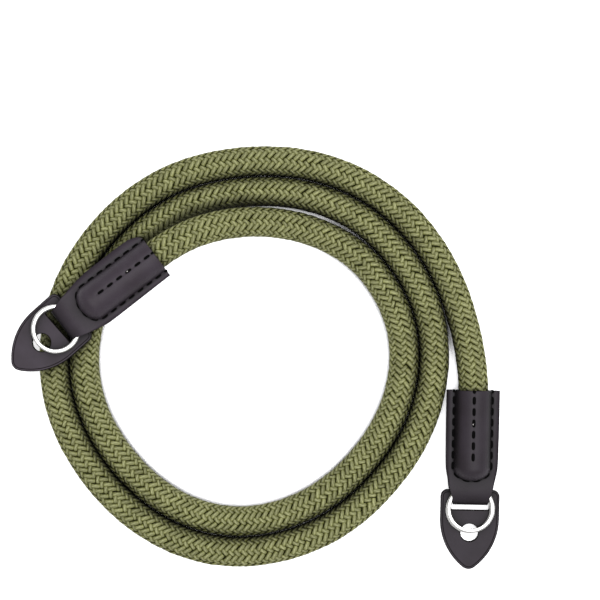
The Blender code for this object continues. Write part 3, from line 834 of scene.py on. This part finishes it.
# ==== split rings =========================================================================
# A key ring of nickel-plated spring steel: flat wire wound into two turns that lie on each
# other, with a short step where the wire goes from the lower turn up to the upper one.
RING_OUTER = 16.2
WIRE_WIDTH = 1.4
WIRE_HEIGHT = 0.66
TURN_HEIGHT = 0.7               # from the middle of one turn to the middle of the other
RING_ABOVE_GUARD = 0.3
RING_STEPS = 240
WIRE_SIDES = 16
WIRE_SQUARENESS = 2.6           # 2 would be an oval section
RING_SHARP_FROM = 60.0
SCRATCHES = 0.25
STEP_ANGLE = 40.0               # degrees round the ring, of the step between the turns
UPPER_END = {"right": 150.0, "left": 175.0}    # degrees round the ring, of the wire's ends
# The lower turn sits a little off the upper.
LOWER_SHIFT = {"right": (0.25, -0.3), "left": (0.0, 0.1)}
# Bright nickel plating on drawn wire: a clear mirror, dulled here and there by fine scratches.
ring_look, tree, shader = new_look("nickel-plated spring steel")
shader.inputs["Base Color"].default_value = linear("#C8C7C5")
shader.inputs["Metallic"].default_value = 1.0
shader.inputs["Roughness"].default_value = 0.16
scratches = add(tree, "TexNoise", {"Scale": 1 / (SCRATCHES * MM), "Detail": 4.0},
                Vector=add(tree, "TexCoord").outputs["Object"])
worn = add(tree, "MapRange", {"To Min": 0.10, "To Max": 0.26},
           Value=scratches.outputs["Fac"])
tree.links.new(worn.outputs["Result"], shader.inputs["Roughness"])


def wire_surface(side, along, around):
    """The lower turn, the step up and the upper turn, turned to metres in the row's frame."""
    turned, tilt = along * 2 * 360, around * math.tau
    step = np.clip((turned - 360 + STEP_ANGLE / 2) / STEP_ANGLE, 0, 1)
    step = step * step * (3 - 2 * step)
    squared = (abs(np.cos(tilt)) ** WIRE_SQUARENESS
               + abs(np.sin(tilt)) ** WIRE_SQUARENESS) ** (-1 / WIRE_SQUARENESS)
    out = RING_OUTER / 2 - WIRE_WIDTH / 2 + squared * np.cos(tilt) * WIRE_WIDTH / 2
    up = TURN_HEIGHT / 2 + step * TURN_HEIGHT + squared * np.sin(tilt) * WIRE_HEIGHT / 2
    way = np.radians(turned + UPPER_END[side])
    shift_x, shift_y = LOWER_SHIFT[side]
    points = np.stack([out * np.cos(way) + shift_x * (1 - step),
                       out * np.sin(way) + shift_y * (1 - step), up], axis=1)
    hang = HANGS[side]
    points += (hang["ring_centre"] - hang["guard_top"], hang["ring_across"],
               GUARD_THICKNESS + RING_ABOVE_GUARD)
    matrix = np.array(guard_seat(side))
    return points @ matrix[:3, :3].T + matrix[:3, 3]


for side in ENDS:
    bm = tube(RING_STEPS, WIRE_SIDES, lambda along, around: wire_surface(side, along, around))
    made = new_piece("wound_ring_" + side, bm, ring_look)
    made.data.set_sharp_from_angle(angle=math.radians(RING_SHARP_FROM))
    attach(made, "root")
    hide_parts("split_ring_" + side)

# ==== table and light =====================================================================
# A photographer's white light table in a white room, under a wide soft lamp right above the
# strap. The table's own glow is painted light, standing for light a little from below. The light
# makes the table pure white, also close beside the strap, and painted shade darkens its colour
# and glow only in the narrow gaps between two strands of the coil.
GAP_REACH = 3.6
GAP_OPENNESS = (0.5, 0.7)       # black and white, as shares of the sky free of the strap
GAPS_END = (71.5, 74.0)         # how far from the coil's centre, fading out
TABLE_WHITE = (0.9, 0.9, 0.91)
TABLE_GLOW = 0.45
TABLE_REACH = 3.0               # metres, from its middle to each side
TABLE_BELOW = 0.1               # how far it lies below what rests on it
ROOM_LIGHT = 0.8
LAMP_PLACE = Vector((0.2, 0.08, 1.1))     # metres
LAMP_SIZE = 1.2                 # metres
LAMP_WATTS = 22.5
# Opal plastic with a matt face: a neutral white with hardly a reflection, even but for the
# painted shade in the gaps.
floor_look, tree, shader = new_look("white table")
# Painted shade: the table's colour and glow go dark where strands of the coil stand close.
openness = add(tree, "AmbientOcclusion", {"samples": 4, "Distance": GAP_REACH * MM})
open_sky = add(tree, "MapRange", {"From Min": GAP_OPENNESS[0], "From Max": GAP_OPENNESS[1]},
               Value=openness.outputs["AO"])
from_centre = add(tree, "VectorMath", {"operation": 'DISTANCE'},
                  Vector=add(tree, "TexCoord").outputs["Object"])
from_centre.inputs[1].default_value = COIL_CENTRE * MM
off_coil = add(tree, "MapRange", {"From Min": GAPS_END[0] * MM, "From Max": GAPS_END[1] * MM},
               Value=from_centre.outputs["Value"])
lit = add(tree, "Math", {"operation": 'MAXIMUM'})
tree.links.new(open_sky.outputs["Result"], lit.inputs[0])
tree.links.new(off_coil.outputs["Result"], lit.inputs[1])
paint = add(tree, "VectorMath", {"operation": 'SCALE'}, Scale=lit.outputs["Value"])
paint.inputs[0].default_value = TABLE_WHITE
tree.links.new(paint.outputs["Vector"], shader.inputs["Base Color"])
tree.links.new(paint.outputs["Vector"], shader.inputs["Emission Color"])
shader.inputs["Emission Strength"].default_value = TABLE_GLOW
shader.inputs["Roughness"].default_value = 0.9
shader.inputs["Specular IOR Level"].default_value = 0.1
bm = bmesh.new()
bmesh.ops.create_grid(bm, x_segments=1, y_segments=1, size=TABLE_REACH)
bmesh.ops.translate(bm, verts=bm.verts, vec=(0, 0, -TABLE_BELOW * MM))
floor = new_piece("table", bm, floor_look)

bpy.context.scene.view_settings.view_transform = 'Standard'
world = bpy.data.worlds.new("studio")
world.use_nodes = True
world.node_tree.nodes["Background"].inputs["Color"].default_value = (1, 1, 1, 1)
world.node_tree.nodes["Background"].inputs["Strength"].default_value = ROOM_LIGHT
bpy.context.scene.world = world
lamp_data = bpy.data.lights.new("soft lamp", 'AREA')
lamp_data.shape = 'DISK'
lamp_data.size = LAMP_SIZE
lamp_data.energy = LAMP_WATTS
lamp = bpy.data.objects.new("soft lamp", lamp_data)
lamp.location = LAMP_PLACE
lamp.rotation_euler = LAMP_PLACE.to_track_quat('Z', 'Y').to_euler()
bpy.context.scene.collection.objects.link(lamp)
